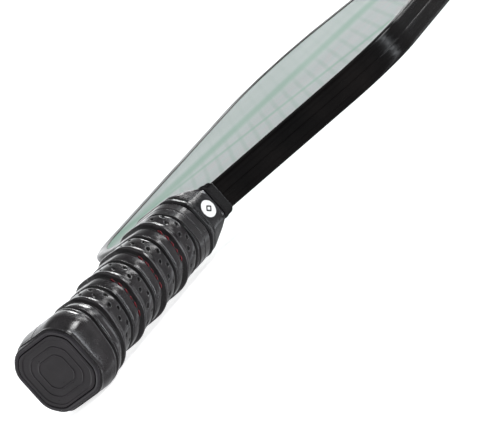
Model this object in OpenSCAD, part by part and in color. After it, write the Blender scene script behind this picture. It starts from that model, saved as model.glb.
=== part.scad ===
// Pickleball paddle, as the pieces it comes apart into on a bench.
// The paddle lies face up: +Z is out of the front face, +Y runs from the butt to the head.
// The origin is the middle of the footprint, level with the lowest point of the grip.

/* [Head outline] */
// Length from the butt to the top of the head
paddle_length = 396; // [380:1:420]
// Width across the head
head_width = 204; // [190:1:215]
// How far the middle of the top edge stands above its ends
crown_rise = 8.6; // [5:0.2:14]
// Radius of the two top corners
top_corner_radius = 52; // [40:1:60]
// Radius of the two shoulder corners
shoulder_radius = 43; // [30:1:55]
// Slope of the shoulders, in degrees from straight across
shoulder_slope = 30.7; // [28:0.1:34]
// Distance from the butt to where the shoulder lines leave the neck
neck_length = 127; // [126:1:130]

/* [Panel layers] */
// Thickness of the honeycomb core
core_thickness = 10.6; // [9:0.2:12]
// Distance between the middles of two honeycomb cells
cell_pitch = 8; // [8:0.5:14]
// Thickness of a honeycomb cell wall
cell_wall = 0.5; // [0.4:0.1:1]
// Thickness of the adhesive film between the core and a face sheet
bond_thickness = 0.2; // [0.1:0.05:0.3]
// Thickness of a face sheet
sheet_thickness = 0.5; // [0.4:0.1:0.8]
// Thickness of a printed graphic film
film_thickness = 0.15; // [0.1:0.05:0.2]

/* [Edge guard] */
// Thickness of a guard lip, over the face
lip_thickness = 0.85; // [0.6:0.05:1.2]
// Width of a guard lip, from the outside edge
lip_width = 7; // [5:0.5:8]
// Thickness of the guard's outer wall
guard_wall = 1.6; // [1.2:0.1:2.4]

/* [Handle] */
// Width of the bare handle, without its grip
handle_width = 30.8; // [29:0.2:32]
// Thickness of the bare handle, without its grip
handle_thickness = 25.6; // [25:0.2:28]
// Size of the flats that take off the bare handle's long edges
handle_bevel = 6.6; // [5:0.1:6.8]
// Distance from the butt to where the handle starts to slope down to the face
ramp_start = 117; // [116:0.5:119]
// Thickness of the double-sided tape under the grip
base_tape_thickness = 0.3; // [0.2:0.1:0.5]

/* [Grip] */
// Thickness of the cushion grip
grip_thickness = 1.7; // [1.4:0.1:2]
// How far the grip stands out from the butt cap's rim at its fattest
flare = 2; // [1.8:0.05:2.4]
// Distance along the handle between two turns of the raised rib
rib_pitch = 21.6; // [18:0.1:24]
// Width of the raised rib
rib_width = 4; // [3:0.2:5]
// Height of the raised rib
rib_height = 1; // [0.6:0.1:1.4]
// Distance from the butt to where the finishing tape starts
tape_start = 103; // [100:0.5:106]
// Distance from the butt to the end of the cushion grip
grip_end = 113; // [109:0.5:114]

/* [Butt cap and throat] */
// Thickness of the butt cap's end wall
cap_wall = 3; // [2.6:0.1:4]
// Depth of the recess for the end plate
plate_recess = 0.8; // [0.7:0.1:1.2]
// Distance from the butt to the head side of the throat collar
collar_end = 129; // [128.5:0.25:129]
// Length of the throat band
band_length = 2.4; // [2:0.2:3]
// Length of the oval patch on the collar
patch_length = 9.2; // [6:0.2:9.6]
// Height of the oval patch on the collar
patch_height = 8; // [5:0.2:9]

/* [Hidden] */

// Heights above the middle plane of the panel, from the core out
core_top = core_thickness / 2;
bond_top = core_top + bond_thickness;
sheet_top = bond_top + sheet_thickness;
film_top = sheet_top + film_thickness;
guard_top = film_top + lip_thickness;

// Head outline: the centres and radii of its arcs
half_head = head_width / 2;
neck_half = 14;
crown_radius = (pow(half_head, 2) + pow(crown_rise, 2)) / (2 * crown_rise);
crown_y = paddle_length - crown_radius;
corner_x = half_head - top_corner_radius;
corner_y = crown_y + sqrt(pow(crown_radius - top_corner_radius, 2) - pow(corner_x, 2));
corner_angle = atan2(corner_y - crown_y, corner_x);
shoulder_x = half_head - shoulder_radius;
shoulder_y = shoulder_line(shoulder_x, shoulder_radius);
arc_step = 3;

// The panel stops short of the guard's wall by the adhesive strip
panel_inset = guard_wall + film_thickness;
core_rim = 1.2;

// Sections across the handle are octagons with rounded corners, at the handle and at the butt end
handle_x = handle_width / 2;
handle_z = handle_thickness / 2;
handle_corner = 4;
end_x = 17.6;
end_z = 16;
end_bevel = 6.6;
end_corner = 9;
corner_steps = 3;
least_corner = 0.8;
bevel_growth = 2 - sqrt(2);
clearance = 0.05;

// Outside of the grip, as [distance from the butt, share of the butt end's section, growth]
grip_offset = base_tape_thickness + grip_thickness;
grip_profile = [
    [0.5, 1, 0.5], [1.2, 1, flare - 0.85], [3, 1, flare - 0.2], [8, 1, flare],
    [14, 0.9, flare], [20, 0.6, flare], [26, 0.25, flare], [32, 0, grip_offset]
];
cap_skirt_end = 26;
tape_over_grip = 0.7;
rib_top_start = 31.2;
rib_sink = 0.02;
thread_width = 0.7;
thread_height = 0.3;

// Plate let into the butt end, and the raised lines on it
plate_inset = 1.9;
plate_thickness = 0.5;
emboss_height = 0.25;
emboss_width = 0.6;
emboss_insets = [5.6, 8.8];

// Throat, with the slope that takes the handle blocks down to the face
block_bottom = sheet_top + bond_thickness;
ramp_drop = 26;
ramp_end = ramp_start + (handle_z - block_bottom) / tan(ramp_drop);
collar_x = 17.8;
collar_z = 15;
collar_bevel = 8;
collar_corner = 7;
collar_slope_start = 118.5;
collar_brow = 127.2;
brow_drop = 3.9;
patch_thickness = 0.3;
patch_y = 122.6;

// Height of the panel's middle plane when the grip's flare rests on the ground
ground_to_middle = end_z + flare;

function mix(a, b, share) = a + (b - a) * share;

// Distance along Y of the shoulder line, moved in by some inset
function shoulder_line(x, inset) =
    neck_length + ((x - neck_half) * sin(shoulder_slope) + inset) / cos(shoulder_slope);

function arc(cx, cy, r, from, to) =
    let (steps = max(2, ceil(abs(to - from) / arc_step)))
    [for (i = [0:steps]) let (a = mix(from, to, i / steps)) [cx + r * cos(a), cy + r * sin(a)]];

// Right half of the head outline, moved in by some inset, from a start on the shoulder line
function half_outline(inset, start_x) = concat(
    [[start_x, shoulder_line(start_x, inset)]],
    arc(shoulder_x, shoulder_y, shoulder_radius - inset, shoulder_slope - 90, 0),
    arc(corner_x, corner_y, top_corner_radius - inset, 0, corner_angle),
    arc(0, crown_y, crown_radius - inset, corner_angle, 90)
);

function mirrored(points) = concat(
    points,
    [for (i = [len(points) - 1:-1:0]) if (points[i][0] > 0.001) [-points[i][0], points[i][1]]]
);

// Whether a point right of the middle is inside the panel by at least some margin
function in_head(x, y, inset) =
    x <= half_head - inset
    && y >= shoulder_line(x, inset)
    && norm([x, y - crown_y]) <= crown_radius - inset
    && (x < corner_x || y < corner_y
        || norm([x - corner_x, y - corner_y]) <= top_corner_radius - inset)
    && (x < shoulder_x || y > shoulder_y
        || norm([x - shoulder_x, y - shoulder_y]) <= shoulder_radius - inset);
function in_tongue(x, y, margin) =
    x <= handle_x - margin && y >= cap_wall + margin && y < neck_length + lip_width;
function in_panel(x, y, margin) = in_head(x, y, panel_inset + margin) || in_tongue(x, y, margin);

// Octagon with rounded corners, as [x, z] points
function octagon(hx, hz, bevel, r) =
    let (corners = [
        [hx, bevel - hz], [hx, hz - bevel], [hx - bevel, hz], [bevel - hx, hz],
        [-hx, hz - bevel], [-hx, bevel - hz], [bevel - hx, -hz], [hx - bevel, -hz]
    ])
    [for (i = [0:7]) each rounded_corner(corners[i], 45 * (i - 1), r)];
function rounded_corner(corner, from, r) =
    let (reach = r / cos(22.5), middle = from + 22.5,
         cx = corner[0] - reach * cos(middle), cz = corner[1] - reach * sin(middle))
    [for (k = [0:corner_steps]) let (a = from + 45 * k / corner_steps)
        [cx + r * cos(a), cz + r * sin(a)]];

// Section between the handle's (share 0) and the butt end's (share 1), grown all round
function section(share, grow) = octagon(
    mix(handle_x, end_x, share) + grow,
    mix(handle_z, end_z, share) + grow,
    mix(handle_bevel, end_bevel, share) + grow * bevel_growth,
    max(least_corner, mix(handle_corner, end_corner, share) + grow)
);
function profile_rings(profile, less) = [for (p = profile) section(p[1], p[2] - less)];
function column(rows, i) = [for (row = rows) row[i]];
function reversed(rows) = [for (i = [len(rows) - 1:-1:0]) rows[i]];

// Distance round a closed section from its first point to each of its points
function lengths_round(points) = [
    for (i = 0, s = 0; i <= len(points);
         s = s + norm(points[(i + 1) % len(points)] - points[i % len(points)]), i = i + 1) s
];

// Moves what is drawn from the butt into the part's frame
module placed() {
    translate([0, -paddle_length / 2, ground_to_middle]) children();
}

module on_back() {
    mirror([0, 0, 1]) children();
}

// A straight length of an [x, z] section, along +Y
module along_handle(points, from, to) {
    translate([0, to, 0]) rotate([90, 0, 0]) linear_extrude(height = to - from) polygon(points);
}

// A straight sleeve on the handle
module sleeve(inner, outer, from, to) {
    difference() {
        along_handle(section(0, outer), from, to);
        along_handle(section(0, inner), from - 1, to + 1);
    }
}

// A closed band through sections at stated distances from the butt; the last one meets the first
module ring_loop(sections, distances) {
    n = len(sections[0]);
    m = len(sections);
    polyhedron(
        points = [for (j = [0:m - 1]) for (p = sections[j]) [p[0], distances[j], p[1]]],
        faces = [for (j = [0:m - 1]) for (i = [0:n - 1]) for (half = [0, 1])
            let (a = j * n + i, b = j * n + (i + 1) % n,
                 c = ((j + 1) % m) * n + (i + 1) % n, d = ((j + 1) % m) * n + i)
            half == 0 ? [a, b, c] : [a, c, d]]
    );
}

// A strip wound round the grip, from [offset along Y, height] points of its own profile
module wound_strip(profile, shift) {
    base = section(0, grip_offset);
    n = len(base);
    along = lengths_round(base);
    turn = along[n];
    top_share = (along[11] + along[12]) / 2 / turn;
    first = ceil(n * 0.45);
    last = floor(n * ((tape_start - 1.5 - rib_top_start) / rib_pitch + top_share));
    k = len(profile);
    rings = last - first + 1;
    function normal(i) = let (v = base[(i + 1) % n] - base[(i + n - 1) % n]) [v[1], -v[0]] / norm(v);
    function distance(i) =
        rib_top_start + shift + rib_pitch * (floor(i / n) + along[i % n] / turn - top_share);
    polyhedron(
        points = [for (i = [first:last]) for (q = profile)
            let (p = base[i % n] + normal(i % n) * q[1]) [p[0], distance(i) + q[0], p[1]]],
        faces = concat(
            [[for (j = [0:k - 1]) j]],
            [for (r = [0:rings - 2]) for (j = [0:k - 1]) for (half = [0, 1])
                let (a = r * k + j, b = r * k + (j + 1) % k,
                     c = (r + 1) * k + (j + 1) % k, d = (r + 1) * k + j)
                half == 0 ? [a, c, b] : [a, d, c]],
            [[for (j = [k - 1:-1:0]) (rings - 1) * k + j]]
        )
    );
}

// The panel's outline: the head, and the tongue that runs down inside the handle
module panel_outline() {
    polygon(mirrored(concat([[handle_x, cap_wall]], half_outline(panel_inset, handle_x))));
}

module panel_plate(from, to) {
    translate([0, 0, from]) linear_extrude(height = to - from) panel_outline();
}

module honeycomb_core() {
    cell_radius = (cell_pitch - cell_wall) / sqrt(3);
    column_step = cell_pitch * sqrt(3) / 2;
    columns = ceil(half_head / column_step);
    rows = ceil(paddle_length / cell_pitch);
    margin = core_rim + cell_radius;
    color("gainsboro") placed() translate([0, 0, -core_top])
        linear_extrude(height = core_thickness) difference() {
            panel_outline();
            for (c = [-columns:columns]) for (r = [0:rows]) {
                x = c * column_step;
                y = (r + abs(c % 2) / 2) * cell_pitch;
                if (in_panel(abs(x), y, margin)) translate([x, y]) circle(r = cell_radius, $fn = 6);
            }
        }
}

module bond_film() {
    color("khaki") panel_plate(core_top, bond_top);
}

module front_bond_film() {
    placed() bond_film();
}

module back_bond_film() {
    placed() on_back() bond_film();
}

module face_sheet() {
    color("dimgray") panel_plate(bond_top, sheet_top);
}

module front_face_sheet() {
    placed() face_sheet();
}

module back_face_sheet() {
    placed() on_back() face_sheet();
}

// The printed film fills the face between the guard's lips and stops at the throat band
module graphic_film() {
    film_start = collar_end + band_length + 0.5;
    inset = lip_width + clearance;
    start_x = neck_half
        + ((film_start - neck_length) * cos(shoulder_slope) - inset) / sin(shoulder_slope);
    color([0.72, 0.77, 0.75]) translate([0, 0, sheet_top]) linear_extrude(height = film_thickness)
        polygon(mirrored(half_outline(inset, start_x)));
}

module front_graphic_film() {
    placed() graphic_film();
}

module back_graphic_film() {
    placed() on_back() graphic_film();
}

// Everything inside the head outline moved in by some inset, down to the neck
module head_slab(inset, half_height) {
    start_x = handle_x + grip_offset;
    linear_extrude(height = 2 * half_height, center = true)
        polygon(mirrored(half_outline(inset, start_x)));
}

// Takes away the neck, where the handle passes between the ends of a ring round the head
module neck_cut() {
    cut_x = handle_x + grip_offset + 0.1;
    cut_y = shoulder_line(cut_x, lip_width) + 1;
    translate([-cut_x, 0, -cut_y / 2]) cube([2 * cut_x, cut_y, cut_y]);
}

module guard_adhesive_strip() {
    color("white") placed() difference() {
        head_slab(guard_wall, film_top);
        head_slab(panel_inset, sheet_top);
        head_slab(lip_width, guard_top);
        neck_cut();
    }
}

module edge_guard() {
    color([0.06, 0.06, 0.06]) placed() difference() {
        head_slab(0, guard_top);
        head_slab(guard_wall, film_top);
        head_slab(lip_width, guard_top + 1);
        neck_cut();
    }
}

module handle_block() {
    color("burlywood") difference() {
        along_handle(section(0, 0), cap_wall, ramp_end);
        translate([-head_width / 2, 0, -paddle_length])
            cube([head_width, paddle_length, paddle_length + block_bottom]);
        rotate([90, 0, 90]) linear_extrude(height = head_width, center = true)
            polygon([[ramp_start, handle_z], [ramp_end, block_bottom], [ramp_end + 1, block_bottom],
                [ramp_end + 1, handle_z + 1], [ramp_start, handle_z + 1]]);
    }
}

module front_handle_block() {
    placed() handle_block();
}

module back_handle_block() {
    placed() on_back() handle_block();
}

module block_bond() {
    color("khaki") translate([-handle_x, cap_wall, sheet_top])
        cube([handle_width, ramp_end - cap_wall, bond_thickness]);
}

module front_block_bond() {
    placed() block_bond();
}

module back_block_bond() {
    placed() on_back() block_bond();
}

// Cup over the end of the handle, with a skirt that swells under the grip
module butt_cap() {
    skirt_less = grip_thickness + clearance;
    outside = [for (p = grip_profile) if (p[0] > 2 && p[0] <= cap_skirt_end) p];
    color([0.16, 0.15, 0.16]) placed() {
        difference() {
            along_handle(section(1, 0), 0, cap_wall);
            along_handle(section(1, -plate_inset), -1, plate_recess);
        }
        ring_loop(
            concat(profile_rings(outside, skirt_less), [section(0, clearance), section(0, clearance)]),
            concat(column(outside, 0), [cap_skirt_end, cap_wall - 0.5])
        );
    }
}

// Plate in the butt cap's recess, with two raised outlines one inside the other
module butt_end_plate() {
    plate_front = plate_recess - plate_thickness;
    color([0.18, 0.17, 0.18]) placed() {
        along_handle(section(1, -plate_inset - clearance), plate_front, plate_recess);
        for (inset = emboss_insets) difference() {
            along_handle(section(1, -inset), plate_front - emboss_height, plate_front + 0.1);
            along_handle(section(1, -inset - emboss_width), plate_front - 1, plate_front + 1);
        }
    }
}

module grip_base_tape() {
    color("white") placed() sleeve(0, base_tape_thickness, cap_skirt_end + 0.2, grip_end);
}

// Cushion grip: the wrap as one sleeve, fat over the butt cap and straight up the handle
module cushion_grip() {
    over_cap = [for (p = grip_profile) if (p[0] <= cap_skirt_end) p];
    on_cap = [for (p = over_cap) section(p[1], max(clearance, p[2] - grip_thickness))];
    inner = base_tape_thickness + clearance;
    color([0.13, 0.12, 0.13]) placed() ring_loop(
        concat(
            profile_rings(grip_profile, 0),
            [section(0, grip_offset), section(0, inner), section(0, inner)],
            reversed(on_cap)
        ),
        concat(
            column(grip_profile, 0),
            [grip_end, grip_end, cap_skirt_end + 0.5],
            reversed(column(over_cap, 0))
        )
    );
}

module grip_rib() {
    half = rib_width / 2;
    color([0.2, 0.2, 0.2]) placed() wound_strip([
        [-half, rib_sink], [-0.7 * half, 0.8 * rib_height], [0, rib_height],
        [0.7 * half, 0.8 * rib_height], [half, rib_sink]
    ], 0);
}

// Stitching thread that runs along the butt side of the rib
module seam_thread() {
    half = thread_width / 2;
    color("firebrick") placed() wound_strip([
        [-half, rib_sink], [0, thread_height], [half, rib_sink]
    ], -rib_width / 2 - thread_width);
}

module finishing_tape() {
    outer = grip_offset + tape_over_grip;
    color([0.1, 0.1, 0.1]) placed() sleeve(grip_offset, outer, tape_start, grip_end);
}

// Rubber collar round the throat; it slopes down towards both faces, and its sides stay straight
module throat_collar() {
    start = grip_end + 0.3;
    full = octagon(collar_x, collar_z, collar_bevel, collar_corner);
    brow = octagon(collar_x, collar_z - brow_drop, collar_bevel - brow_drop, collar_corner - 3);
    mouth_outer = octagon(collar_x + 0.4, 8.6, 1.8, 1.6);
    mouth_z = handle_z - (collar_end - ramp_start) * tan(ramp_drop) + 0.5;
    mouth_inner = octagon(handle_x + clearance, mouth_z, mouth_z + handle_bevel - handle_z, 0.6);
    around_handle = section(0, clearance);
    color([0.07, 0.07, 0.07]) placed() ring_loop(
        [full, full, brow, mouth_outer, mouth_inner, around_handle, around_handle],
        [start, collar_slope_start, collar_brow, collar_end, collar_end, ramp_start, start]
    );
}

// White oval patch on the side of the collar
module collar_patch() {
    outline = [for (a = [0:10:350]) [patch_height / 2 * cos(a), patch_length / 2 * sin(a)]];
    color("white") placed() translate([collar_x, patch_y, 0])
        rotate([0, 90, 0]) linear_extrude(height = patch_thickness) polygon(outline);
}

// Band that closes the throat over the ends of the edge guard
module throat_band() {
    band_end = collar_end + band_length;
    slice = 0.1;
    color([0.09, 0.09, 0.09]) placed() difference() {
        hull() {
            along_handle(octagon(18.7, 8.9, 2, 1.7), collar_end + slice, collar_end + 2 * slice);
            along_handle(octagon(22.3, 7.8, 1.2, 1), band_end - slice, band_end);
        }
        head_slab(-clearance, guard_top + clearance);
        handle_block();
        on_back() handle_block();
    }
}

honeycomb_core();
front_bond_film();
back_bond_film();
front_face_sheet();
back_face_sheet();
front_graphic_film();
back_graphic_film();
guard_adhesive_strip();
edge_guard();
front_block_bond();
back_block_bond();
front_handle_block();
back_handle_block();
butt_cap();
butt_end_plate();
grip_base_tape();
cushion_grip();
grip_rib();
seam_thread();
finishing_tape();
throat_collar();
collar_patch();
throat_band();
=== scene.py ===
import math

import bmesh
import bpy
import numpy as np
from mathutils import Matrix, Vector, noise
from types import SimpleNamespace


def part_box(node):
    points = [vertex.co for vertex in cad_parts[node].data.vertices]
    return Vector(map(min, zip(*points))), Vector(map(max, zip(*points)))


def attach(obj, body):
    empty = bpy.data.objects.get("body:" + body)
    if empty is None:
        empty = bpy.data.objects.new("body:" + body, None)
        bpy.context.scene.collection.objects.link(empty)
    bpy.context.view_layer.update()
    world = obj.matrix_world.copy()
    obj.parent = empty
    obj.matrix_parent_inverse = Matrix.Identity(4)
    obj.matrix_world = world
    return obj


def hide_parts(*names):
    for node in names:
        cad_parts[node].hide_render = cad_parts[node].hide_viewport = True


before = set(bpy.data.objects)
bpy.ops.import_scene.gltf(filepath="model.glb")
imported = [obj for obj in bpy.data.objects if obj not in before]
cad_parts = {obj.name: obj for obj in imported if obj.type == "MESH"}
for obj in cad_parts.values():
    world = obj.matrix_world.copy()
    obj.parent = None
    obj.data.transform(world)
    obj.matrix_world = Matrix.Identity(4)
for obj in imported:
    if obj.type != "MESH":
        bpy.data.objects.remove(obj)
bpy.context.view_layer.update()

# Lengths below are millimetres: x across, along from the butt, height above the middle plane
MM = 0.001
butt_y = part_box("butt_cap")[0].y
film_low, film_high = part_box("back_graphic_film")[0].z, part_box("front_graphic_film")[1].z
middle_z = (film_low + film_high) / 2
film_top = (film_high - middle_z) / MM
head_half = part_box("edge_guard")[1].x / MM
paddle_length = (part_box("edge_guard")[1].y - butt_y) / MM
guard_top = (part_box("edge_guard")[1].z - middle_z) / MM
tape_from, grip_end = ((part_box("finishing_tape")[k].y - butt_y) / MM for k in (0, 1))
collar_from, collar_to = ((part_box("throat_collar")[k].y - butt_y) / MM for k in (0, 1))
band_from, band_to = ((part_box("throat_band")[k].y - butt_y) / MM for k in (0, 1))

# Head outline
crown_rise = 8.6
top_corner = 52.0
shoulder_corner = 43.0
shoulder_slope = math.radians(30.7)
neck_length = 127.0
neck_half = 14.0
lip_width = 7.0

# Octagonal sections: half width, half height, how far each corner is cut back, corner radius
HANDLE = (15.4, 12.8, 6.6, 8.6)
BUTT = (17.6, 16.0, 6.6, 9.0)
COLLAR = (17.8, 15.0, 7.4, 7.4)
BROW = (17.8, 11.1, 4.1, 6.0)
MOUTH = (18.2, 8.6, 1.8, 1.6)
THROAT = (18.7, 8.9, 2.0, 1.7)
SHOULDER = (22.3, 7.8, 1.2, 1.0)

# Winding of the grip
pitch = 21.6
rib_start = 31.2
grip_growth = 2.0
flare = 2.0
around = 320
rows_per_turn = 64


def to_frame(points):
    """Points in millimetres from the butt's middle, as metres in the frame."""
    moved = np.asarray(points, float) * MM
    moved[..., 1] += butt_y
    moved[..., 2] += middle_z
    return moved


def smooth(low, high, value):
    """Smooth step from 0 at low to 1 at high."""
    t = np.clip((np.asarray(value, float) - low) / (high - low), 0, 1)
    return t * t * (3 - 2 * t)


def ripple(*coordinates):
    """Smooth noise at each point, from about -1 to 1."""
    rows = np.stack(np.broadcast_arrays(*coordinates), -1)
    flat = [noise.noise(p) for p in rows.reshape(-1, 3)]
    return np.array(flat).reshape(rows.shape[:-1])


# ---------------------------------------------------------------- sections

def octagon(half_x, half_z, bevel, radius, steps=12):
    """Octagon with round corners, as x and z points, counter-clockwise from the right."""
    corners = [
        (half_x, bevel - half_z), (half_x, half_z - bevel),
        (half_x - bevel, half_z), (bevel - half_x, half_z),
        (-half_x, half_z - bevel), (-half_x, bevel - half_z),
        (bevel - half_x, -half_z), (half_x - bevel, -half_z),
    ]
    reach = radius / math.cos(math.pi / 8)
    points = []
    for i, (x, z) in enumerate(corners):
        start = math.pi / 4 * (i - 1)
        middle = start + math.pi / 8
        centre = (x - reach * math.cos(middle), z - reach * math.sin(middle))
        for k in range(steps + 1):
            a = start + math.pi / 4 * k / steps
            points.append((centre[0] + radius * math.cos(a), centre[1] + radius * math.sin(a)))
    return np.array(points)


def evenly(points, count):
    """A closed section at even steps of its length, from its top middle towards -X."""
    closed = np.vstack([points, points[:1]])
    lengths = np.concatenate([[0], np.cumsum(np.linalg.norm(np.diff(closed, axis=0), axis=1))])
    dense = np.linspace(0, lengths[-1], 4001)
    x = np.interp(dense, lengths, closed[:, 0])
    z = np.interp(dense, lengths, closed[:, 1])
    top = np.argmin(np.abs(x[:-1]) + 10 * (z[:-1] < 0))
    wanted = (dense[top] + np.arange(count) / count * lengths[-1]) % lengths[-1]
    return np.stack([np.interp(wanted, dense, x), np.interp(wanted, dense, z)], -1)


def normals_of(section):
    """Outward normals of closed counter-clockwise sections, along the last but one axis."""
    ahead = np.roll(section, -1, axis=-2)
    behind = np.roll(section, 1, axis=-2)
    run = ahead - behind
    out = np.stack([run[..., 1], -run[..., 0]], -1)
    return out / np.linalg.norm(out, axis=-1, keepdims=True)


def ring(shape, along, growth, count):
    """One closed ring of a section, grown along its normals, at a distance from the butt."""
    section = evenly(octagon(*shape), count)
    grown = section + normals_of(section) * np.reshape(growth, (-1, 1))
    return np.stack([grown[:, 0], np.broadcast_to(along, (count,)), grown[:, 1]], -1)


def blended(shape_a, shape_b, share):
    return tuple(a + (b - a) * share for a, b in zip(shape_a, shape_b))


# ---------------------------------------------------------------- meshes

def make_mesh(name, points, faces, material, sharp=None):
    """A piece from points in millimetres; faces turned outwards."""
    mesh = bpy.data.meshes.new(name)
    mesh.from_pydata(to_frame(points).tolist(), [], faces)
    work = bmesh.new()
    work.from_mesh(mesh)
    bmesh.ops.recalc_face_normals(work, faces=work.faces)
    work.to_mesh(mesh)
    work.free()
    mesh.shade_smooth()
    if sharp is not None:
        mesh.set_sharp_from_angle(angle=math.radians(sharp))
    mesh.materials.append(material)
    piece = bpy.data.objects.new(name, mesh)
    bpy.context.scene.collection.objects.link(piece)
    return piece


def quads(rows, columns, first=0, closed_rows=False):
    """Faces of a grid of points, stored row by row, with each row a closed ring."""
    faces = []
    for j in range(rows if closed_rows else rows - 1):
        a, b = first + j * columns, first + (j + 1) % rows * columns
        for i in range(columns):
            k = (i + 1) % columns
            faces.append((a + i, a + k, b + k, b + i))
    return faces


def loft(name, rings, material, loop=False, caps=False, sharp=None):
    """A piece through closed rings; loop joins the last to the first, caps closes both ends."""
    rings = np.asarray(rings)
    rows, columns = rings.shape[:2]
    faces = quads(rows, columns, closed_rows=loop)
    if caps:
        faces += [tuple(range(columns)), tuple((rows - 1) * columns + i for i in range(columns))]
    return make_mesh(name, rings.reshape(-1, 3), faces, material, sharp)


def finish_piece(piece, slot, *nodes):
    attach(piece, "root")
    if nodes:
        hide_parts(*nodes)


# ---------------------------------------------------------------- materials

class Surface:
    """A material with a Principled shader, and short calls for its nodes."""

    def __init__(self, name, **values):
        self.material = bpy.data.materials.new(name)
        self.material.use_nodes = True
        self.tree = self.material.node_tree
        self.shader = self.tree.nodes["Principled BSDF"]
        self.here = self.add("TexCoord").outputs["Object"]
        for key, value in values.items():
            self.shader.inputs[key.replace("_", " ").title().replace("Ior", "IOR")].default_value = value

    def add(self, kind, inputs=None, **settings):
        node = self.tree.nodes.new("ShaderNode" + kind)
        for key, value in settings.items():
            setattr(node, key, value)
        for key, value in (inputs or {}).items():
            if isinstance(value, bpy.types.NodeSocket):
                self.tree.links.new(value, node.inputs[key])
            else:
                node.inputs[key].default_value = value
        return node

    def to(self, socket, value):
        self.tree.links.new(value, self.shader.inputs[socket])

    def maths(self, operation, a, b=0.0, c=0.0, clamp=False):
        return self.add("Math", {0: a, 1: b, 2: c}, operation=operation, use_clamp=clamp).outputs[0]

    def noise(self, size, detail=3.0, rough=0.5, where=None):
        """Noise whose features are about size millimetres across."""
        inputs = {
            "Vector": where or self.here, "Scale": 1 / (size * MM),
            "Detail": detail, "Roughness": rough,
        }
        return self.add("TexNoise", inputs).outputs["Fac"]

    def stretched(self, x, y, z, where=None):
        return self.add("Mapping", {"Vector": where or self.here, "Scale": (x, y, z)}).outputs["Vector"]

    def along(self, x, y, z):
        """Distance in metres along a direction."""
        return self.add(
            "VectorMath", {0: self.here, 1: (x, y, z)}, operation="DOT_PRODUCT"
        ).outputs["Value"]

    def ramp(self, value, *stops):
        """Grey or colour ramp through (position, colour) stops."""
        node = self.add("ValToRGB", {"Fac": value})
        band = node.color_ramp
        while len(band.elements) < len(stops):
            band.elements.new(0.5)
        for element, (position, colour) in zip(band.elements, stops):
            element.position = position
            grey = not hasattr(colour, "__len__")
            element.color = (colour, colour, colour, 1) if grey else (*colour, 1)
        return node.outputs["Color"]

    def blend(self, share, a, b, mode="MIX"):
        """Mix of two colours; sockets 6 and 7 of the node take them, and 2 gives the result."""
        node = self.add("Mix", {"Factor": share}, data_type="RGBA", blend_type=mode)
        for key, value in ((6, a), (7, b)):
            if isinstance(value, bpy.types.NodeSocket):
                self.tree.links.new(value, node.inputs[key])
            else:
                node.inputs[key].default_value = (*value, 1)
        return node.outputs[2]

    def attribute(self, name):
        return self.add("Attribute", None, attribute_name=name).outputs["Fac"]

    def bump(self, height, depth, under=None):
        """Adds relief of some depth in millimetres, over the relief given as under."""
        inputs = {"Height": height, "Distance": depth * MM, "Strength": 1.0}
        if under:
            inputs["Normal"] = under
        normal = self.add("Bump", inputs).outputs["Normal"]
        self.to("Normal", normal)
        return normal


def print_material():
    """Printed film: pale grey-green, with fine slanting lines and two soft mint bands."""
    s = Surface("printed_film", specular_ior_level=0.1, ior=1.4)
    line_pitch = 0.0072
    wander = s.maths("MULTIPLY", s.maths("SUBTRACT", s.noise(22, 2), 0.5), 0.0011)
    across = s.maths("ADD", s.along(0.819, 0.574, 0), wander)
    phase = s.maths("PINGPONG", across, line_pitch / 2)
    rung = s.ramp(s.maths("DIVIDE", phase, line_pitch / 2), (0.0, 1.0), (0.2, 0.85), (0.38, 0.0))
    fine = s.ramp(
        s.maths("FRACT", s.maths("DIVIDE", across, line_pitch / 6)), (0.0, 0.0), (0.5, 1.0), (1.0, 0.0)
    )

    def band(nx, ny, offset, half, soft):
        """Soft stripe round the line where nx*x + ny*y = offset."""
        away = s.maths("ABSOLUTE", s.maths("SUBTRACT", s.along(nx, ny, 0), offset))
        edge = s.maths("DIVIDE", s.maths("SUBTRACT", away, half), soft)
        return s.maths("SUBTRACT", 1.0, edge, clamp=True)

    blur = s.noise(30, 3)
    wide = band(0.788, -0.616, -0.0634, 0.006, 0.016)
    slim = band(-0.064, 0.998, 0.0085, 0.0012, 0.0055)
    right_of = s.maths("MULTIPLY_ADD", s.along(0.788, -0.616, 0), 22.0, 1.3, clamp=True)
    base = s.blend(blur, (0.42, 0.495, 0.465), (0.48, 0.54, 0.515))
    lilac = s.blend(s.ramp(s.noise(9, 2), (0.4, 0.0), (0.62, 1.0)), (0.41, 0.465, 0.455), (0.455, 0.46, 0.46))
    cells = s.blend(s.maths("MULTIPLY", right_of, 0.8), base, lilac)
    rung_share = s.maths("MULTIPLY", rung, s.maths("MULTIPLY_ADD", right_of, 0.28, 0.1))
    lined = s.blend(rung_share, cells, (0.24, 0.375, 0.305))
    lined = s.blend(s.maths("MULTIPLY", fine, 0.12), lined, (0.50, 0.51, 0.52))
    minted = s.blend(s.maths("MULTIPLY", wide, 0.72), lined, (0.235, 0.40, 0.31))
    minted = s.blend(s.maths("MULTIPLY", slim, 0.7), minted, (0.225, 0.395, 0.305))
    speckle = s.ramp(s.noise(0.5, 2), (0.35, 0.93), (0.7, 1.06))
    s.to("Base Color", s.blend(1.0, minted, speckle, mode="MULTIPLY"))
    s.to("Roughness", s.ramp(s.noise(35, 4), (0.3, 0.42), (0.7, 0.55)))
    weave = s.bump(s.noise(0.6, 2), 0.012)
    s.bump(s.noise(14, 2), 0.05, weave)
    return s.material


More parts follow.
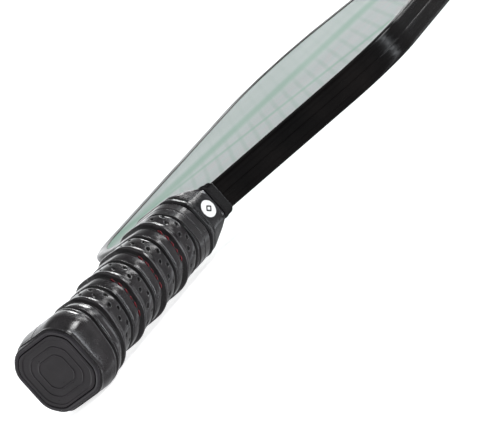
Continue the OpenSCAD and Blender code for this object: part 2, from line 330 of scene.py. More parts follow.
def guard_material():
    """Moulded black plastic: nearly black, polished, with faint draw lines and scuffs."""
    s = Surface("guard_plastic", specular_ior_level=0.1)
    tone = s.ramp(s.noise(18, 4), (0.3, (0.0035, 0.0032, 0.0034)), (0.75, (0.009, 0.0075, 0.0072)))
    s.to("Base Color", tone)
    scuffs = s.noise(3, 5, 0.65, s.stretched(0.3, 0.12, 1.4))
    s.to("Roughness", s.ramp(scuffs, (0.35, 0.13), (0.75, 0.34)))
    s.bump(s.noise(5, 3, 0.5, s.stretched(0.25, 0.25, 2.0)), 0.03)
    return s.material


def leather_material(name, dark, light, grain, gloss):
    """Polyurethane leather: fine grain, stretch creases, painted shade in its recesses and polished crests.
    """
    s = Surface(name, specular_ior_level=0.42)
    strip = s.add("UVMap", None, uv_map="strip").outputs["UV"]
    cloud = s.noise(7, 4, 0.6)
    colour = s.blend(s.ramp(cloud, (0.3, 0.0), (0.75, 1.0)), dark, light)
    # The recess attribute paints shade: near-black colour in the holes, the groove and the dip by each rib;
    # it also makes them matt.
    painted_recess_shade = s.attribute("recess")
    worn = s.attribute("wear")
    colour = s.blend(painted_recess_shade, colour, (0.0015, 0.0013, 0.0014))
    s.to("Base Color", s.blend(s.maths("MULTIPLY", worn, 0.5), colour, tuple(1.8 * c for c in light)))
    patchy = s.ramp(s.noise(4, 3, 0.6), (0.3, gloss), (0.75, gloss + 0.16))
    shine = s.maths("SUBTRACT", patchy, s.maths("MULTIPLY", worn, 0.08))
    s.to("Roughness", s.maths("ADD", shine, s.maths("MULTIPLY", painted_recess_shade, 0.5), clamp=True))
    pebbles = s.add("TexVoronoi", {"Vector": s.here, "Scale": 1 / (grain * MM)}).outputs["Distance"]
    relief = s.bump(pebbles, 0.003)
    relief = s.bump(s.noise(1.6, 3, 0.5, s.stretched(0.35, 1.0, 1.0, strip)), 0.008, relief)
    s.bump(s.noise(0.3, 2), 0.0015, relief)
    return s.material


def rubber_material(name, tone, gloss, mottle, depth, shine=0.45):
    """Smooth rubber or vinyl with slow dents and a fine matt grain."""
    s = Surface(name, specular_ior_level=shine)
    darker, lighter = (tuple(factor * c for c in tone) for factor in (0.75, 1.4))
    s.to("Base Color", s.ramp(s.noise(9, 4, 0.6), (0.3, darker), (0.75, lighter)))
    s.to("Roughness", s.ramp(s.noise(3, 4, 0.6), (0.3, gloss), (0.72, gloss + 0.14)))
    relief = s.bump(s.noise(0.35, 2), 0.002)
    s.bump(s.noise(mottle, 3, 0.5), depth, relief)
    return s.material


def thread_material():
    """Red twisted thread, with painted shade, near black, in the gaps between its plies."""
    s = Surface("stitch_thread", roughness=0.6, specular_ior_level=0.3)
    strip = s.add("UVMap", None, uv_map="strip").outputs["UV"]
    twist = s.add(
        "TexWave", {"Vector": s.stretched(1, 1.6, 1, strip), "Scale": 380.0, "Distortion": 0.6},
        bands_direction="DIAGONAL",
    ).outputs["Fac"]
    colour = s.blend(s.noise(6, 2), (0.13, 0.01, 0.016), (0.34, 0.026, 0.042))
    # Painted shade: the colour goes near black in the troughs of the twist.
    s.to("Base Color", s.blend(s.ramp(twist, (0.2, 0.0), (0.6, 1.0)), (0.012, 0.003, 0.004), colour))
    s.bump(twist, 0.06)
    return s.material


def enamel_material():
    """White enamelled label, very slightly yellowed and scuffed."""
    s = Surface("white_enamel", coat_weight=0.4, coat_roughness=0.12)
    s.to("Base Color", s.ramp(s.noise(2.5, 4), (0.3, (0.80, 0.81, 0.81)), (0.75, (0.90, 0.90, 0.89))))
    s.to("Roughness", s.ramp(s.noise(1.2, 4), (0.3, 0.25), (0.75, 0.45)))
    s.bump(s.noise(0.4, 3), 0.01)
    return s.material


def ink_material():
    """Black ink of the badge's mark."""
    s = Surface("black_ink", roughness=0.4, specular_ior_level=0.3)
    s.to("Base Color", s.ramp(s.noise(1, 3), (0.3, (0.006, 0.006, 0.006)), (0.7, (0.014, 0.013, 0.014))))
    s.bump(s.noise(0.3, 2), 0.01)
    return s.material


def plain_stock(name, low, high, size, rough, relief, depth):
    """Stock material of an inner piece: two tones, grain of some size and its relief."""
    s = Surface(name, roughness=rough)
    s.to("Base Color", s.ramp(s.noise(size, 4, 0.6), (0.3, low), (0.7, high)))
    s.to("Roughness", s.ramp(s.noise(size * 2, 3), (0.3, rough - 0.08), (0.7, rough + 0.1)))
    s.bump(s.noise(relief, 3, 0.6), depth)
    return s.material


def woven_material(name, low, high, thread):
    """Plain weave of some thread spacing, for cloth tape and for glass fibre sheet."""
    s = Surface(name, roughness=0.55)
    inputs = {"Vector": s.here, "Scale": 1 / (20 * thread * MM)}
    waves = [s.add("TexWave", inputs, bands_direction=d).outputs["Fac"] for d in ("X", "Y")]
    weave = s.maths("MAXIMUM", *waves)
    s.to("Base Color", s.ramp(weave, (0.2, low), (0.8, high)))
    s.to("Roughness", s.ramp(s.noise(4, 3), (0.3, 0.45), (0.7, 0.6)))
    s.bump(weave, 0.08)
    return s.material


# ---------------------------------------------------------------- head

def shoulder_line(x, inset):
    """Distance from the butt of the head's sloped edge at x, moved inwards by an inset."""
    return neck_length + ((x - neck_half) * math.sin(shoulder_slope) + inset) / math.cos(shoulder_slope)


def arc(centre, radius, start, end, step=math.radians(1.5)):
    """Points of an arc, each with its outward normal."""
    count = max(2, math.ceil(abs(end - start) / step))
    return [
        (centre[0] + radius * math.cos(a), centre[1] + radius * math.sin(a), math.cos(a), math.sin(a))
        for a in np.linspace(start, end, count + 1)
    ]


def head_path(start_x):
    """Head outline from the right of the neck round to its left: x, y and the outward normal."""
    crown = (head_half**2 + crown_rise**2) / (2 * crown_rise)
    crown_y = paddle_length - crown
    corner_x = head_half - top_corner
    corner_y = crown_y + math.sqrt((crown - top_corner) ** 2 - corner_x**2)
    turn = math.atan2(corner_y - crown_y, corner_x)
    shoulder_x = head_half - shoulder_corner
    shoulder_y = shoulder_line(shoulder_x, shoulder_corner)
    slope = (math.sin(shoulder_slope), -math.cos(shoulder_slope))
    end_x = shoulder_x + shoulder_corner * slope[0]
    line = [
        (x, shoulder_line(x, 0), *slope) for x in np.linspace(start_x, end_x, 14, endpoint=False)
    ]
    side = [(head_half, y, 1.0, 0.0) for y in np.linspace(shoulder_y, corner_y, 24)[1:-1]]
    right = line + arc((shoulder_x, shoulder_y), shoulder_corner, shoulder_slope - math.pi / 2, 0)
    right += side + arc((corner_x, corner_y), top_corner, 0, turn)
    right += arc((0, crown_y), crown, turn, math.pi / 2, math.radians(0.6))[1:]
    left = [(-x, y, -nx, ny) for x, y, nx, ny in reversed(right[:-1])]
    return np.array(right + left)


def guard_profile():
    """Guard section as inset from the outside edge and height: ridge, crowned wall, sloped lip."""
    drawn_top = 7.0
    lip_end = lip_width - 0.02
    lip_under = film_top + 0.01
    upper = [
        (0.0, 0.0), (0.03, 0.16), (0.14, 0.3), (0.15, 0.6), (0.09, 1.6), (0.05, 2.6), (0.07, 3.3),
        (0.15, 3.6), (0.15, 3.8), (0.06, 4.1), (0.08, 4.8), (0.18, 5.5), (0.42, 6.1), (0.82, 6.55),
        (1.4, 6.84), (2.1, 6.96), (2.8, 6.97), (3.9, 6.88), (5.0, 6.74), (6.0, 6.58), (6.6, 6.46),
        (6.9, 6.36), (lip_end, 6.22), (lip_end, lip_under),
    ]
    inner = [(1.7, lip_under), (1.7, 3.0)]
    lift = guard_top - drawn_top
    upper = [(e, z + lift * smooth(0, 6, z)) for e, z in upper]
    top = upper + inner
    bottom = [(e, -z) for e, z in reversed(top)]
    return np.array(top + bottom[:-1])


def edge_guard():
    """Moulded channel round the head, with its two ends beside the handle."""
    path = head_path(HANDLE[0] + grip_growth + 0.4)
    profile = guard_profile()
    rings = [[(x - nx * e, y - ny * e, z) for e, z in profile] for x, y, nx, ny in path]
    piece = loft("edge_guard_moulding", rings, guard_material(), caps=True, sharp=50)
    finish_piece(piece, "guard", "edge_guard")


# ---------------------------------------------------------------- grip

def signed(share):
    """Share of a turn from -0.5 to 0.5, so that the jump between turns falls at the bottom."""
    return np.where(share > 0.5, share - 1, share)


def crown_of(share):
    """How far the padding bulges on each flat: 1 at its middle, below 0 at the handle's edges."""
    section = evenly(octagon(*HANDLE), around)
    radius = np.linalg.norm(section * [HANDLE[1] / HANDLE[0], 1], axis=-1)
    bulge = (radius.mean() - radius) / (radius.max() - radius.min())
    return np.interp(share, np.arange(around) / around, bulge)


def rib_profile(from_crest):
    """Height of the rib, from 0 to 1, across the strip: steep on its butt side."""
    butt_side = np.sqrt(np.clip(1 - (from_crest / 1.7) ** 2, 0, 1)) ** 1.15
    head_side = 1 - smooth(0.2, 3.1, from_crest)
    return np.where(from_crest < 0, butt_side, head_side)


def hole_share(strip, across):
    """Two staggered rows of slanting oval holes: 1 in a hole, 0 outside it."""
    spacing, slant = 7.6, 0.45
    half_long, half_short = 1.02, 0.64
    hole = np.zeros_like(strip)
    for middle, offset in ((5.0, 0.0), (8.1, 0.5)):
        near = strip - (np.round(strip / spacing - offset) + offset) * spacing
        off = across - middle
        long_way = near * math.cos(slant) + off * math.sin(slant)
        short_way = off * math.cos(slant) - near * math.sin(slant)
        from_middle = np.sqrt((long_way / half_long) ** 2 + (short_way / half_short) ** 2)
        hole = np.maximum(hole, 1 - smooth(0.88, 1.1, from_middle))
    return hole


def grip_shape():
    """The wrap over a grid that follows its winding: points, painted recess shade, wear and strip
    coordinates.
    """
    step = pitch / rows_per_turn
    first = int(-rib_start / step) - rows_per_turn - 2
    last = int((grip_end - rib_start) / step) + 2
    j = np.arange(first, last + 1)[:, None]
    share_round = (np.arange(around) / around)[None, :]
    along = rib_start + step * j + pitch * share_round

    # The wrap's two ends, where the winding is cut: it starts further up on the -X side
    from_top = signed(share_round)
    begin = 0.8 + 4.2 * smooth(-0.12, 0.2, from_top) * (1 - smooth(0.3, 0.48, from_top))
    end = np.full_like(begin, grip_end - 0.05)
    clamped = np.clip(along, begin, end)

    handle = evenly(octagon(*HANDLE), around)[None]
    butt = evenly(octagon(*BUTT), around)[None]
    toward_butt = 1 - smooth(9, 32, clamped)
    section = handle + (butt - handle) * toward_butt[..., None]
    outward = normals_of(section)
    perimeter = np.linalg.norm(np.roll(section, -1, 1) - section, axis=-1).sum(1).mean() + 2 * math.pi * 2

    # Distance over the strip: across from a rib's crest, and along the strip
    across = (clamped - rib_start - pitch * share_round) % pitch
    turn = np.floor((clamped - rib_start - pitch * share_round) / pitch)
    strip = (share_round + turn) * perimeter

    # The padding bulges on the flats, and rounds down to its butt end
    bulge = 0.3 * crown_of(share_round) * (1 - toward_butt)
    growth = grip_growth + (flare - grip_growth) * toward_butt + bulge
    edge = np.clip((clamped - begin) / 0.9, 0, 1)
    growth = growth - 0.55 * (1 - np.sqrt(1 - (1 - edge) ** 2))
    growth = growth - 1.7 * np.clip(1 - (clamped - 0.4 * begin) / 12, 0, 1) ** 2.2

    # The first wrap is smooth, and the finishing tape holds the last one down
    first_rib = smooth(-0.5, 0.5, clamped - (rib_start - 4.5) - pitch * from_top)
    first_groove = smooth(-1, 1, clamped - (rib_start - 13.0) - pitch * from_top)
    open_part = 1 - smooth(tape_from - 1.0, tape_from + 0.5, clamped)

    from_rib = np.where(across > pitch / 2, across - pitch, across)
    rib = rib_profile(from_rib)
    dip = np.exp(-((from_rib + 2.2) / 0.6) ** 2)
    groove = np.exp(-(((across - 11.0) / 0.62) ** 2) ** 1.4)
    fold = np.exp(-((across - 12.1) / 0.55) ** 2)
    second = np.exp(-((across - 13.1) / 0.24) ** 2)
    swell_low = np.sin(np.pi * np.clip((across - 2.5) / 8.3, 0, 1))
    swell_high = np.sin(np.pi * np.clip((across - 12.8) / 6.4, 0, 1))

    active = first_rib * open_part
    height = rib * active * (1.3 + 0.1 * ripple(strip / 9, 0.3, turn))
    height += (0.28 * swell_low + 0.2 * swell_high) * open_part * first_groove
    height -= 0.5 * dip * active
    height -= (1.25 * groove - 0.26 * fold + 0.26 * second) * first_groove * open_part
    height -= 0.5 * (1 - open_part)

    # Stretch creases run along the strip, and fan out over the flare
    lean = strip * 0.02
    fine = ripple(strip / 13, (across + lean) / 0.85, turn * 3.1)
    broad = ripple(strip / 17, across / 3.2, turn * 1.7 + 5)
    calm = 1 - 0.85 * np.clip(rib * active, 0, 1)
    band = smooth(12.5, 14, across) * (1 - smooth(18, 19.2, across))
    height += calm * (0.008 + 0.02 * band) * fine + calm * 0.035 * broad
    over_flare = toward_butt * (1 - smooth(0, 3, begin + 3 - clamped))
    ridge = np.abs(ripple(strip / 15, (clamped - 0.12 * strip) / 2.4, 9.0))
    height += over_flare * (0.14 - 0.6 * ridge) * smooth(10, 19, clamped)

    # The holes stop short of both ends
    past_first = smooth(-0.4, 0.4, first_rib * first_groove - 0.5)
    hole = hole_share(strip, across) * (past_first * open_part * smooth(14, 20, clamped))
    height -= 1.3 * hole

    # The wrap stays at least this far outside the handle
    least_growth = 0.8
    height = np.maximum(height, least_growth - growth)

    # Painted shade: near black in the holes, along the groove and in the dip on the rib's butt side.
    recess = hole * 1.1 + 1.0 * groove * first_groove * open_part + 0.75 * dip * active
    wear = np.clip(rib * active - 0.55, 0, 1) * 2 * (0.5 + 0.5 * ripple(strip / 5, across / 2, turn))
    points = section + outward * (growth + height)[..., None]
    return SimpleNamespace(
        along=along, begin=begin, end=end, section=section, outward=outward, growth=growth,
        points=np.stack([points[..., 0], clamped, points[..., 1]], -1),
        recess=np.clip(recess, 0, 1), wear=np.clip(wear, 0, 1), strip=strip, across=across,
    )


def winding_faces(index):
    """Faces of the winding grid; its last column meets its first one turn further on."""
    rows, columns = index.shape
    faces = []
    for i in range(columns):
        k, shift = (i + 1, 0) if i + 1 < columns else (0, rows_per_turn)
        for j in range(rows - 1 - shift):
            loop = (index[j, i], index[j + shift, k], index[j + 1 + shift, k], index[j + 1, i])
            loop = tuple(dict.fromkeys(int(v) for v in loop))
            if len(loop) > 2:
                faces.append(loop)
    return faces


def cushion_grip():
    """The wound strip as one closed skin, with an inner wall between its two cut ends."""
    grip = grip_shape()
    rows, columns = grip.along.shape
    index = np.arange(rows * columns).reshape(rows, columns)
    every = np.arange(columns)
    low = np.array([np.max(np.nonzero(grip.along[:, i] <= grip.begin[0, i])[0]) for i in every])
    high = np.array([np.min(np.nonzero(grip.along[:, i] >= grip.end[0, i])[0]) for i in every])
    index = index[np.clip(np.arange(rows)[:, None], low[None], high[None]), every[None]]
    faces = winding_faces(index)

    thickness, most_growth = 1.5, 0.35
    inner = []
    for level, line in ((low, grip.begin[0]), (high, grip.end[0])):
        less = (grip.growth[level, every] - thickness)[:, None]
        wall = grip.section[level, every] + grip.outward[level, every] * np.minimum(less, most_growth)
        inner.append(np.stack([wall[:, 0], line, wall[:, 1]], -1))
    points = grip.points.reshape(-1, 3)
    start = len(points)
    points = np.vstack([points, *inner])
    low_loop, high_loop = index[0].tolist(), index[-1].tolist()
    for i in range(columns):
        k = (i + 1) % columns
        a, b = start + i, start + k
        faces.append((low_loop[i], low_loop[k], b, a))
        faces.append((high_loop[i], high_loop[k], b + columns, a + columns))
        faces.append((a, b, b + columns, a + columns))

    used = np.unique([v for f in faces for v in f])
    new = np.full(len(points), -1)
    new[used] = np.arange(len(used))
    faces = [tuple(int(new[v]) for v in f) for f in faces]
    dark, light = (0.008, 0.007, 0.0078), (0.022, 0.019, 0.0205)
    material = leather_material("grip_leather", dark, light, 0.55, 0.14)
    piece = make_mesh("wrapped_grip", points[used], faces, material)

    # The inner walls between the cut ends get full painted shade.
    inside = np.zeros(2 * columns)
    values = {
        "recess": np.concatenate([grip.recess.ravel(), inside + 1])[used],
        "wear": np.concatenate([grip.wear.ravel(), inside])[used],
    }
    for name, value in values.items():
        layer = piece.data.attributes.new(name, "FLOAT", "POINT")
        layer.data.foreach_set("value", value.astype(np.float32))
    flat = np.stack([grip.strip.ravel(), grip.across.ravel()], -1) * MM
    write_strip_map(piece.data, np.vstack([flat, np.zeros((2 * columns, 2))])[used])
    finish_piece(piece, "grip", "cushion_grip", "grip_rib")


def write_strip_map(mesh, per_vertex):
    """UV map in metres along and across the strip."""
    corners = np.empty(len(mesh.loops), np.int32)
    mesh.loops.foreach_get("vertex_index", corners)
    layer = mesh.uv_layers.new(name="strip")
    layer.data.foreach_set("uv", per_vertex[corners].astype(np.float32).ravel())


def grip_point(turn_share, along, lift):
    """Point on the straight part of the wrap, lifted off its surface."""
    section = evenly(octagon(*HANDLE), around)
    outward = normals_of(section)
    at = (turn_share % 1) * around
    i, f = int(at) % around, at % 1
    k = (i + 1) % around
    base = section[i] * (1 - f) + section[k] * f
    out = outward[i] * (1 - f) + outward[k] * f
    x, z = base + out * (grip_growth + lift)
    return np.array([x, along, z]), np.array([out[0], 0, out[1]])


def seam_stitches():
    """Short red stitches on the butt side of the rib, over the handle's two narrow sides."""
    radius, length, gap = 0.36, 2.5, 0.9
    around_strip = 104.6
    ring_sides, ring_count = 8, 7
    points, faces, flat = [], [], []
    seam = pitch - 2.9
    seen_from, seen_half = 0.265, 0.085
    turns = np.arange(-0.55, (tape_from - rib_start) / pitch + 0.5, (length + gap) / around_strip)
    for middle in turns:
        share = middle % 1
        along_middle = rib_start + pitch * (middle - 1) + seam
        if abs(share % 0.5 - seen_from) > seen_half or not 17 < along_middle < tape_from - 2.5:
            continue
        start = len(points)
        uneven = noise.noise((middle * 31, 0.5, 2.0))
        for r in range(ring_count):
            t = r / (ring_count - 1)
            here = middle + (t - 0.5) * length * (1 + 0.35 * uneven) / around_strip
            arch = math.sin(math.pi * t)
            thick = radius * (0.35 + 0.65 * math.sqrt(arch)) if 0 < t < 1 else 0.06
            slant = (t - 0.5) * (0.5 + 0.7 * uneven)
            lift = 0.02 + (0.2 + 0.1 * uneven) * arch
            centre, out = grip_point(here, along_middle + pitch * (here - middle) + slant, lift)
            for q in range(ring_sides):
                a = 2 * math.pi * q / ring_sides
                points.append(centre + out * thick * math.sin(a) + np.array([0, thick * math.cos(a), 0]))
                flat.append((here * around_strip * MM, a * radius * MM))
        faces += quads(ring_count, ring_sides, start)
        faces.append(tuple(start + q for q in range(ring_sides)))
        faces.append(tuple(start + (ring_count - 1) * ring_sides + q for q in range(ring_sides)))
    piece = make_mesh("seam_stitches", points, faces, thread_material())
    write_strip_map(piece.data, np.array(flat))
    finish_piece(piece, "thread", "seam_thread")


def finishing_tape():
    """Stretched tape over the end of the grip, in two laps: each edge is a small step."""
    count, rows = 224, 120
    second_edge = 5.2
    share = np.arange(count) / count
    rings = []
    for along in np.linspace(tape_from, grip_end, rows):
        lap = along - tape_from - 2.0 * signed(share)
        growth = grip_growth + 0.14 + 0.12 * smooth(0, 0.5, lap)
        growth = growth + 0.12 * smooth(second_edge, second_edge + 0.5, lap)
        growth = growth - 0.1 * np.exp(-((lap - second_edge) / 0.2) ** 2)
        growth = growth + 0.03 * ripple(share * 14, along / 4, 2.0)
        ends = min(along - tape_from, grip_end - along)
        growth = growth - 0.5 * (1 - smooth(0, 0.6, ends))
        rings.append(ring(HANDLE, along, growth, count))
    rings.append(ring(HANDLE, grip_end, 1.0, count))
    rings.append(ring(HANDLE, tape_from, 1.0, count))
    material = rubber_material("finishing_vinyl", (0.016, 0.0145, 0.0155), 0.15, 5, 0.04)
    piece = loft("finishing_wrap", rings, material, loop=True, sharp=60)
    finish_piece(piece, "tape", "finishing_tape")


# ---------------------------------------------------------------- throat

def throat_collar():
    """Rubber sleeve with a rolled butt end; it slopes down to both faces, its sides stay straight."""
    count = 224
    share = np.arange(count) / count
    slope_from, brow_at = 118.5, 127.2
    rings = []
    for along in np.concatenate([np.linspace(collar_from, 114.9, 12), np.linspace(115.2, collar_to, 46)]):
        d = along - collar_from
        roll = 0.9 * (1 - math.sqrt(1 - (1 - min(d / 1.3, 1)) ** 2))
        bead = 0.3 * math.exp(-((d - 1.2) / 0.7) ** 2) - 0.18 * math.exp(-((d - 3.0) / 0.6) ** 2)
        down = float(np.clip((along - slope_from) / (brow_at - slope_from), 0, 1)) ** 1.12
        closing = float(smooth(brow_at - 0.6, collar_to + 0.4, along))
        shape = blended(blended(COLLAR, BROW, down), MOUTH, closing)
        dents = 0.13 * ripple(share * 15, d / 6, 4.0) * smooth(1.5, 4, d) * (1 - smooth(126, 128.5, along))
        lip = 0.35 * (1 - smooth(0, 0.5, collar_to - along))
        rings.append(ring(shape, along, bead - roll + dents - lip, count))
    inner_mouth = (HANDLE[0] + 0.1, 7.45, 1.25, 0.8)
    rings.append(ring(blended(MOUTH, inner_mouth, 0.6), collar_to, 0, count))
    rings.append(ring(inner_mouth, collar_to - 0.1, 0, count))
    rings.append(ring(HANDLE, slope_from - 1.5, 0.1, count))
    rings.append(ring(HANDLE, collar_from, 0.1, count))
    material = rubber_material("collar_rubber", (0.0085, 0.008, 0.0088), 0.15, 7, 0.10)
    piece = loft("collar_sleeve", rings, material, loop=True, sharp=60)
    finish_piece(piece, "collar", "throat_collar")


def oval_ring(centre, half_y, half_z, lift):
    """Upright oval of the badge, lifted off the collar's side."""
    count = 72
    a = np.arange(count) / count * 2 * math.pi
    return np.stack([
        np.full(count, centre[0] + lift), centre[1] + half_y * np.cos(a), centre[2] + half_z * np.sin(a)
    ], -1)


def collar_badge():
    """Domed white oval with a plain black lozenge let into it."""
    low, high = (np.array(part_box("collar_patch")[k]) for k in (0, 1))
    centre = (low[0] / MM, ((low[1] + high[1]) / 2 - butt_y) / MM, 0.0)
    half_y, half_z = (high[1] - low[1]) / 2 / MM, (high[2] - low[2]) / 2 / MM
    steps = [(0.0, 1.0), (0.14, 1.0), (0.22, 0.97), (0.27, 0.9), (0.3, 0.75), (0.31, 0.4), (0.31, 0.08)]
    rings = [oval_ring(centre, half_y * k, half_z * k, lift) for lift, k in steps]
    plate = loft("collar_badge", rings, enamel_material(), caps=True, sharp=60)
    finish_piece(plate, "patch", "collar_patch")

    def lozenge(size, lift):
        """Rounded lozenge of the mark, longer along the paddle than across it."""
        count, power = 48, 1.15
        a = np.arange(count) / count * 2 * math.pi
        reach = size / (np.abs(np.cos(a)) ** power + np.abs(np.sin(a)) ** power) ** (1 / power)
        along = centre[1] + 1.15 * reach * np.cos(a)
        up = centre[2] + 0.8 * reach * np.sin(a)
        return np.stack([np.full(count, centre[0] + lift), along, up], -1)

    mark_rings = [lozenge(2.1, 0.28), lozenge(2.1, 0.33), lozenge(2.0, 0.355),
                  lozenge(1.15, 0.355), lozenge(1.05, 0.33), lozenge(1.05, 0.28)]
    mark = loft("badge_mark", mark_rings, ink_material(), loop=True, sharp=60)
    finish_piece(mark, "patch")


def throat_band():
    """Rubber band over the ends of the edge guard, with two rolled beads and a lip on the film."""
    count = 160
    share = np.arange(count) / count
    length = band_to - band_from
    rings = []
    for d in np.linspace(0, length, 30):
        shape = blended(THROAT, SHOULDER, d / length)
        beads = 0.16 * math.exp(-((d - 0.6) / 0.32) ** 2) + 0.16 * math.exp(-((d - 1.8) / 0.32) ** 2)
        ends = 0.4 * (1 - smooth(0, 0.4, min(d, length - d)))
        rings.append(ring(shape, band_from + d, beads - ends + 0.03 * ripple(share * 20, d, 8.0), count))
    mouth = ring((SHOULDER[0] - 0.8, SHOULDER[1] - 0.6, SHOULDER[2] - 0.3, 0.6), band_to, 0, count)
    # Between the guard's ends the inner edge reaches down to the film
    between_guards = 1 - smooth(15.8, 17.4, np.abs(mouth[:, 0]))
    above_film = np.abs(mouth[:, 2]) - film_top - 0.03
    mouth[:, 2] -= np.sign(mouth[:, 2]) * np.maximum(above_film, 0) * between_guards
    rings.append(mouth)
    rings.append(ring((THROAT[0] - 1.0, THROAT[1] - 1.6, 1.0, 0.8), band_from, 0, count))
    material = rubber_material("band_rubber", (0.0085, 0.008, 0.0088), 0.15, 5, 0.08)
    piece = loft("throat_band_ring", rings, material, loop=True, sharp=60)
    finish_piece(piece, "band", "throat_band")


# ---------------------------------------------------------------- butt

def butt_cap():
    """Moulded cup: rounded rim round the recess, and a skirt that swells under the wrap."""
    count = 160
    profile = [
        (-2.0, 3.0), (-2.0, 0.9), (-1.9, 0.4), (-1.6, 0.14), (-1.1, 0.02), (-0.7, 0.0), (-0.35, 0.07),
        (-0.08, 0.3), (0.08, 0.7), (0.2, 1.4), (0.3, 2.2), (0.42, 3.2), (0.6, 5.0), (0.3, 8.0),
        (-0.1, 16.0), (-1.0, 26.0), (-3.2, 26.0), (-3.2, 3.0),
    ]
    rings = [
        ring(blended(BUTT, HANDLE, float(smooth(9, 32, along))), along, growth, count)
        for growth, along in profile
    ]
    material = rubber_material("cap_plastic", (0.02, 0.017, 0.021), 0.25, 6, 0.04)
    piece = loft("butt_cup", rings, material, loop=True, sharp=60)
    finish_piece(piece, "cap", "butt_cap")


def butt_plate():
    """Plate in the recess: rounded edge, dished face and two plain raised outlines."""
    count = 160
    outlines = ((6.2, 0.22), (9.4, 0.2))
    side, round_from, round_steps = -2.12, 0.35, 6
    rings = [ring(BUTT, 0.95, side, count), ring(BUTT, round_from, side, count)]
    for k in range(1, round_steps + 1):
        a = math.pi / 2 * k / round_steps
        along, growth = round_from - 0.3 * math.sin(a), side - 0.42 * (1 - math.cos(a))
        rings.append(ring(BUTT, along, growth, count))
    inset, last_inset = 2.7, 15.4
    while inset < last_inset:
        dish = 0.05 + 0.3 * float(smooth(2.95, 3.5, inset))
        raised = sum(0.3 * math.exp(-(((inset - at) / half) ** 2) ** 1.3) for at, half in outlines)
        scale = 1 - inset / BUTT[1]
        rings.append(ring(BUTT, dish - raised, 0, count) * [scale, 1, scale])
        inset += 0.1 if any(abs(inset - at) < 0.8 for at, half in outlines) or inset < 3.8 else 0.5
    material = rubber_material("plate_rubber", (0.0165, 0.0135, 0.016), 0.27, 9, 0.02, 0.36)
    piece = loft("butt_plate", rings, material, caps=True, sharp=70)
    finish_piece(piece, "end_plate", "butt_end_plate")


# ---------------------------------------------------------------- CAD nodes that stay

def dress_nodes():
    """Materials of the CAD nodes that stay."""
    film = print_material()
    core = plain_stock("core_plastic", (0.62, 0.64, 0.62), (0.8, 0.81, 0.79), 6, 0.45, 0.8, 0.03)
    glue = plain_stock("cured_adhesive", (0.5, 0.44, 0.26), (0.68, 0.62, 0.42), 5, 0.35, 1.5, 0.05)
    foam = plain_stock("rigid_foam", (0.45, 0.36, 0.2), (0.62, 0.52, 0.34), 1.2, 0.75, 0.5, 0.12)
    sheet = woven_material("glass_fibre", (0.05, 0.055, 0.055), (0.16, 0.17, 0.17), 1.2)
    tape = woven_material("cloth_tape", (0.5, 0.5, 0.47), (0.8, 0.8, 0.76), 0.7)
    dress = {
        "front_graphic_film": film, "back_graphic_film": film, "honeycomb_core": core,
        "front_bond_film": glue, "back_bond_film": glue, "guard_adhesive_strip": glue,
        "front_block_bond": glue, "back_block_bond": glue,
        "front_face_sheet": sheet, "back_face_sheet": sheet,
        "front_handle_block": foam, "back_handle_block": foam, "grip_base_tape": tape,
    }
    for name, material in dress.items():
        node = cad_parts[name]
        if not node.material_slots:
            node.data.materials.append(material)
        for slot in node.material_slots:
            slot.material = material


# ---------------------------------------------------------------- stage

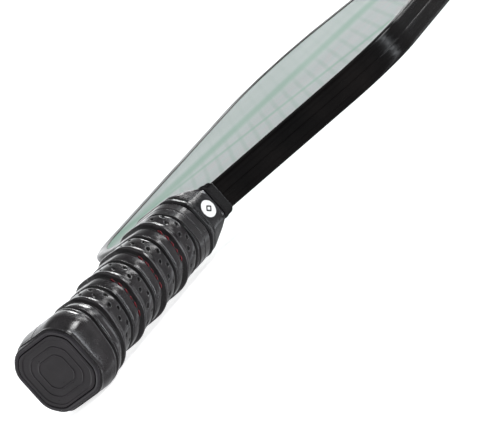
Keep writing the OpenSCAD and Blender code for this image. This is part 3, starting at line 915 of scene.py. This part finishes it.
def make_world():
    """Studio surroundings: bright and low on the left, dim on the right, with two tall light strips."""
    world = bpy.data.worlds.new("studio")
    bpy.context.scene.world = world
    world.use_nodes = True
    tree = world.node_tree

    def add(kind, **inputs):
        node = tree.nodes.new("ShaderNode" + kind)
        for key, value in inputs.items():
            if isinstance(value, bpy.types.NodeSocket):
                tree.links.new(value, node.inputs[key])
            else:
                node.inputs[key].default_value = value
        return node

    def ramp(value, stops):
        """Grey ramp over a direction's part from -1 to 1."""
        half = add("MapRange", Value=value)
        half.inputs["From Min"].default_value = -1.0
        node = add("ValToRGB", Fac=half.outputs[0])
        while len(node.color_ramp.elements) < len(stops):
            node.color_ramp.elements.new(0.5)
        for element, (at, grey) in zip(node.color_ramp.elements, stops):
            element.position = (at + 1) / 2
            element.color = (grey * 0.985, grey, grey * 1.015, 1)
        return node.outputs["Color"]

    def mixed(mode, a, b):
        """Two colours multiplied or added; sockets 6 and 7 take them, and 2 gives the result."""
        node = tree.nodes.new("ShaderNodeMix")
        node.data_type = "RGBA"
        node.blend_type = mode
        node.inputs[0].default_value = 1.0
        tree.links.new(a, node.inputs[6])
        if isinstance(b, tuple):
            node.inputs[7].default_value = b
        else:
            tree.links.new(b, node.inputs[7])
        return node.outputs[2]

    direction = tree.nodes.new("ShaderNodeTexCoord").outputs["Generated"]

    def towards(heading):
        """How far a direction points towards a heading, from -1 to 1."""
        node = tree.nodes.new("ShaderNodeVectorMath")
        node.operation = "DOT_PRODUCT"
        node.inputs[1].default_value = heading
        tree.links.new(direction, node.inputs[0])
        return node.outputs["Value"]

    split = add("SeparateXYZ", Vector=direction)
    left = ramp(split.outputs["Z"], [
        (-1.0, 0.55), (-0.15, 0.55), (-0.04, 0.85), (0.04, 1.5), (0.3, 1.4), (0.46, 0.6),
        (0.6, 0.4), (0.74, 0.08), (1.0, 0.7)])
    right = ramp(split.outputs["Z"], [
        (-1.0, 0.2), (-0.3, 0.45), (0.0, 0.5), (0.12, 0.35), (0.3, 0.06), (0.6, 0.05),
        (0.78, 0.2), (1.0, 0.7)])
    side = ramp(split.outputs["X"], [(-1.0, 0.0), (-0.35, 0.0), (0.15, 1.0), (1.0, 1.0)])
    both = tree.nodes.new("ShaderNodeMix")
    both.data_type = "RGBA"
    tree.links.new(side, both.inputs[0])
    tree.links.new(left, both.inputs[6])
    tree.links.new(right, both.inputs[7])
    lit = both.outputs[2]
    tall = ramp(split.outputs["Z"], [(-1.0, 0), (-0.5, 1.0), (0.55, 1.0), (0.7, 0.0), (1.0, 0.0)])
    for azimuth, half, power in ((17, 0.035, 14.0), (74, 0.02, 3.0)):
        ahead = (math.cos(math.radians(azimuth)), math.sin(math.radians(azimuth)), 0)
        aside = (ahead[1], -ahead[0], 0)
        off = towards(aside)
        strip = ramp(off, [(-1.0, 0), (-2 * half, 0), (-half, 1), (half, 1), (2 * half, 0), (1.0, 0)])
        front = ramp(towards(ahead), [(-1.0, 0), (0.1, 0), (0.3, 1.0), (1.0, 1.0)])
        strip = mixed("MULTIPLY", mixed("MULTIPLY", strip, tall), front)
        lit = mixed("ADD", lit, mixed("MULTIPLY", strip, (power, power, power, 1)))
    background = tree.nodes["Background"]
    tree.links.new(lit, background.inputs["Color"])
    background.inputs["Strength"].default_value = 1.1


def area_light(name, place, target, size, power):
    light = bpy.data.lights.new(name, "AREA")
    light.shape = "RECTANGLE"
    light.size, light.size_y = size
    light.energy = power
    lamp = bpy.data.objects.new(name, light)
    bpy.context.scene.collection.objects.link(lamp)
    lamp.location = place
    lamp.rotation_euler = (Vector(target) - Vector(place)).to_track_quat("-Z", "Y").to_euler()


def make_stage():
    """Surroundings, three soft lights and a pale floor at the grip's lowest point."""
    make_world()
    area_light("overhead_box", (0.72, 0.38, 0.54), (0.01, -0.17, 0.03), (0.28, 0.24), 4.2)
    area_light("side_box", (0.62, 1.05, 0.5), (0, -0.05, 0.02), (0.09, 0.6), 2.5)
    area_light("back_box", (-0.12, 1.12, 0.56), (0.01, -0.08, 0.03), (0.28, 0.16), 2.6)
    half = 60.0
    corners = [(-half, -half, 0), (half, -half, 0), (half, half, 0), (-half, half, 0)]
    mesh = bpy.data.meshes.new("floor")
    mesh.from_pydata(corners, [], [(0, 1, 2, 3)])
    floor = bpy.data.objects.new("floor", mesh)
    s = Surface("pale_floor", roughness=0.9, specular_ior_level=0.1, emission_strength=0.75)
    s.shader.inputs["Emission Color"].default_value = (1, 1, 1, 1)
    s.to("Base Color", s.ramp(s.noise(400, 3), (0.3, (0.86, 0.86, 0.87)), (0.7, (0.9, 0.9, 0.905))))
    mesh.materials.append(s.material)
    bpy.context.scene.collection.objects.link(floor)
    floor.visible_glossy = False
    bpy.context.scene.view_settings.view_transform = "Standard"


def make_camera():
    """Camera over the butt, looking up the paddle from its right side."""
    right = Vector((0.64279635, 0.39134756, -0.65852861))
    up = Vector((0.47906505, 0.46543949, 0.74421956))
    back = Vector((0.59775373, -0.79385966, 0.11170187))
    place = (0.788944, -1.080574, 0.146299)
    data = bpy.data.cameras.new("view")
    data.sensor_width = 36
    data.lens = 213.93
    camera = bpy.data.objects.new("view", data)
    turn = Matrix((right, up, back)).transposed().to_4x4()
    camera.matrix_world = Matrix.Translation(place) @ turn
    bpy.context.scene.collection.objects.link(camera)
    bpy.context.scene.camera = camera


make_stage()
make_camera()
dress_nodes()
edge_guard()
cushion_grip()
seam_stitches()
finishing_tape()
throat_collar()
collar_badge()
throat_band()
butt_cap()
butt_plate()
